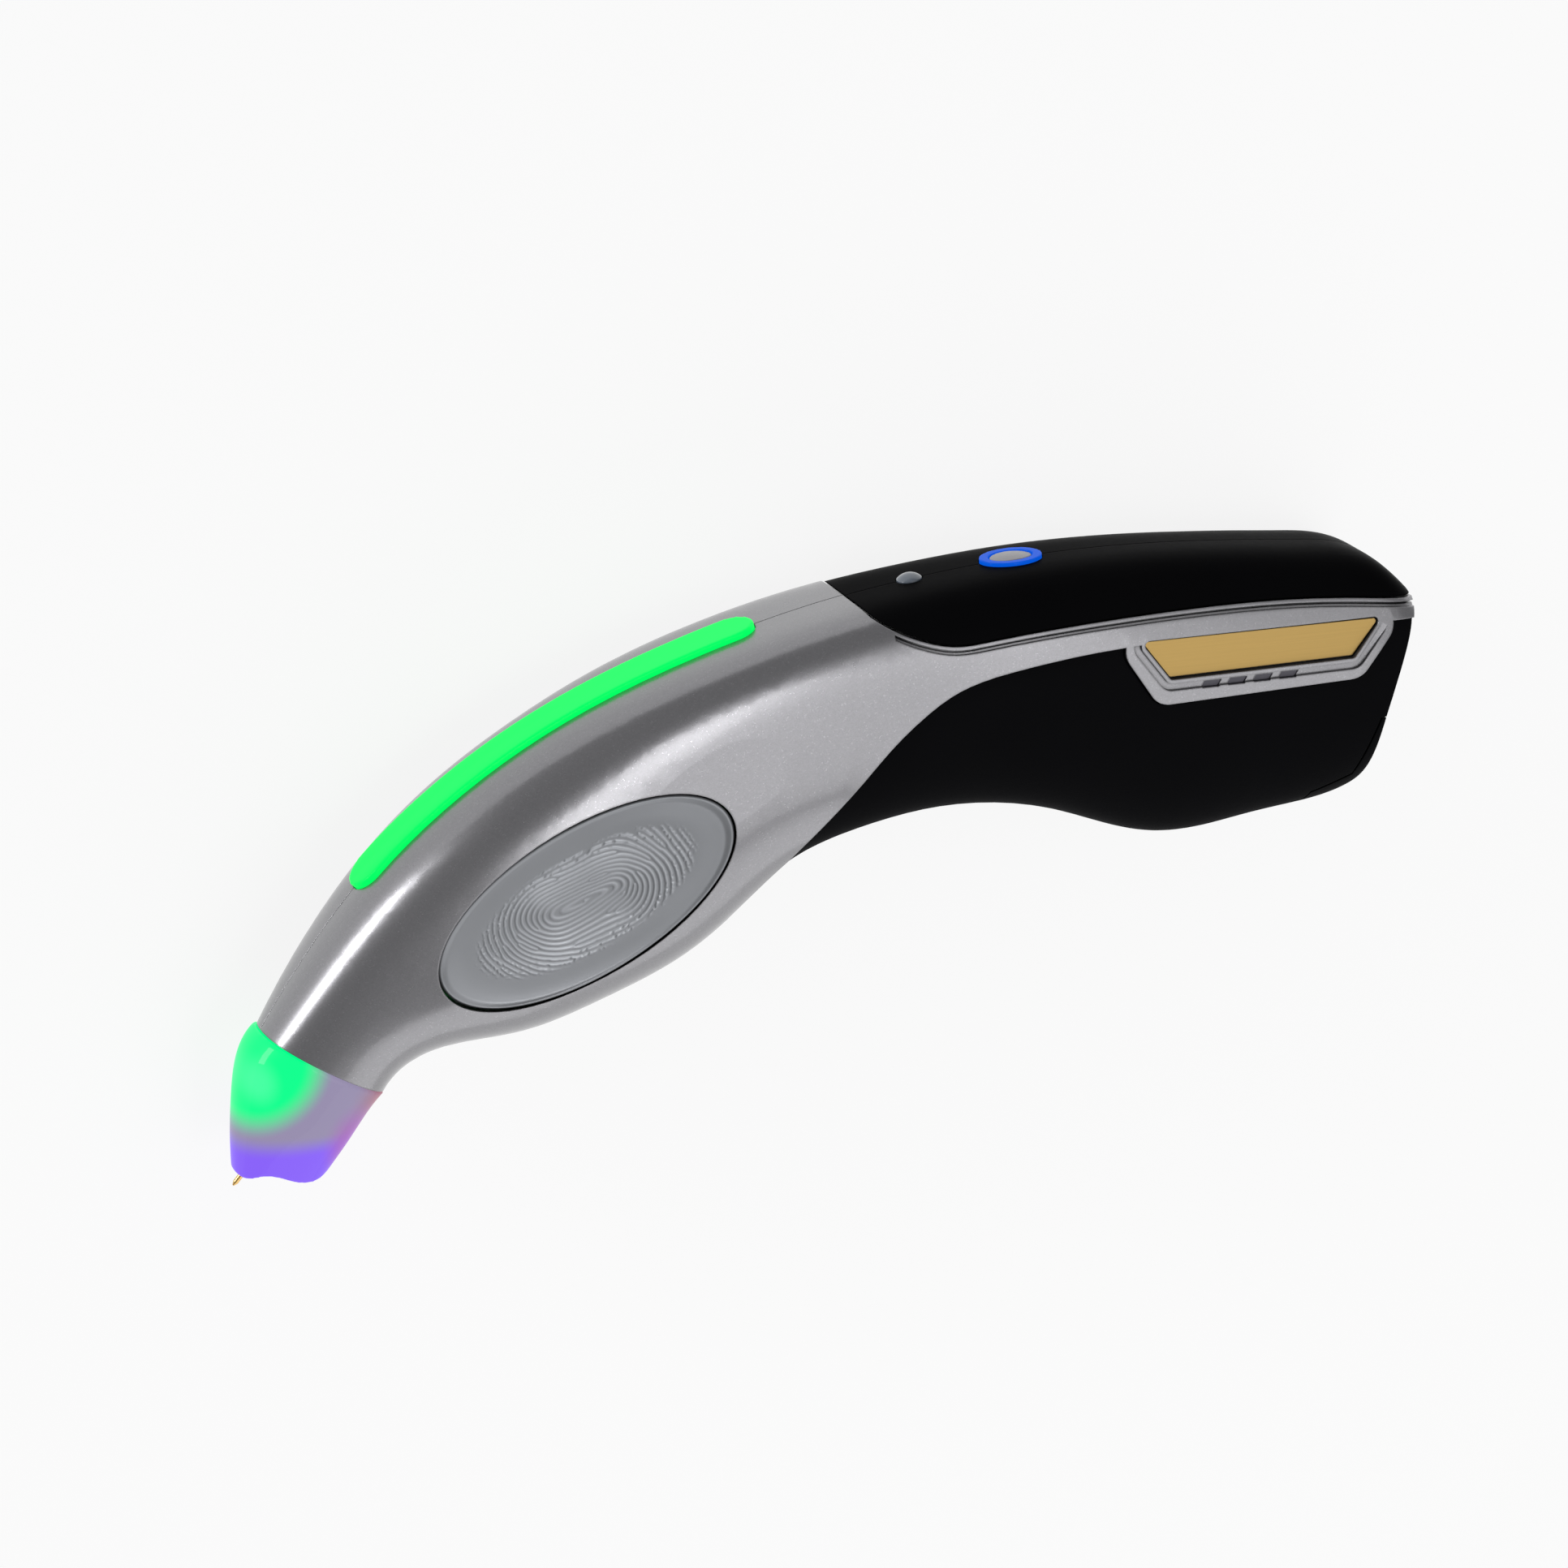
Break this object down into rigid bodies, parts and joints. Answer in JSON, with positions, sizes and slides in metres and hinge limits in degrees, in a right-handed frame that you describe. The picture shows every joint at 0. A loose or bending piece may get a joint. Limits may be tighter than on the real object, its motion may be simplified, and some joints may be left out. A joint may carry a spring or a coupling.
{
  "type": "handheld electronic gold tester",
  "caption": "Curved hand-held electronic gold tester with a frosted probe nose, finger pads on both flanks, a crest light bar, a power button and a handle that holds its battery cells.",
  "frame": {"origin": "middle of the tool's outline in side view, at the level of the right flank on which it lies", "axes": "+X from the nose towards the rear of the handle, +Y from the belly to the crest, +Z from the right flank to the left flank"},
  "size_m": [0.157, 0.0722, 0.0255],
  "materials": {
    "silver_paint": "silver metallic paint on moulded plastic",
    "black_gloss": "semi-gloss black",
    "soft_black": "soft matte black",
    "pad_grey": "conductive grey, satin, ridged",
    "gold_plate": "brushed, clear lacquer",
    "slot_grey": "satin grey",
    "green_light": "translucent, lit from behind",
    "blue_light": "translucent, lit from behind",
    "button_grey": "satin grey",
    "clear_lens": "clear, polished",
    "frosted_nose": "frosted, lit from inside in green, violet and red",
    "gilt_metal": "gold plated",
    "steel": "plated",
    "nickel": "nickel plated",
    "circuit_board": "solder mask over glass fibre laminate",
    "lamp_white": "clear resin on a white carrier",
    "part_black": "moulded",
    "part_white": "moulded",
    "cell_jacket": "printed jacket"
  },
  "bodies": {
    "casing": {"left_shell": "silver_paint", "right_shell": "silver_paint", "left_top_cover": "black_gloss", "right_top_cover": "black_gloss", "left_grip": "soft_black", "right_grip": "soft_black", "left_finger_pad": "pad_grey", "right_finger_pad": "pad_grey", "left_nameplate": "gold_plate", "right_nameplate": "gold_plate", "left_slot_strip": "slot_grey", "right_slot_strip": "slot_grey", "light_bar": "green_light", "bar_board": "circuit_board", "bar_lamps": "lamp_white", "power_ring": "blue_light", "power_switch": "part_black", "button_board": "circuit_board", "ring_lamps": "lamp_white", "indicator_lens": "clear_lens", "nose_lens": "frosted_nose", "nose_core": "part_white", "nose_board": "circuit_board", "nose_lamps": "lamp_white", "nose_contact": "gilt_metal", "probe_sleeve": "gilt_metal", "probe_barrel": "gilt_metal", "probe_spring": "steel", "main_board": "circuit_board", "board_chips": "part_black", "buzzer": "part_black", "pad_contacts": "gilt_metal", "battery_tray": "part_black", "battery_cells": "cell_jacket", "battery_contacts": "nickel", "case_screws": "steel"},
    "probe": {"probe_tip": "gilt_metal"},
    "button": {"power_button": "button_grey", "switch_plunger": "part_black"},
    "door": {"battery_door": "soft_black", "door_contacts": "nickel"}
  },
  "joints": [
    {"name": "probe_press", "type": "slide", "parent": "casing", "child": "probe", "axis": [0.6555, 0.7552, 0], "range_m": [0, 0.001], "stiffness_N_per_m": 300, "deforming": ["probe_spring"]},
    {"name": "power_press", "type": "slide", "parent": "casing", "child": "button", "axis": [0.0656, -0.9978, 0], "range_m": [0, 0.0004], "stiffness_N_per_m": 1500},
    {"name": "battery_door_off", "type": "slide", "parent": "casing", "child": "door", "axis": [1, 0, 0], "range_m": [0, 0.015]}
  ]
}
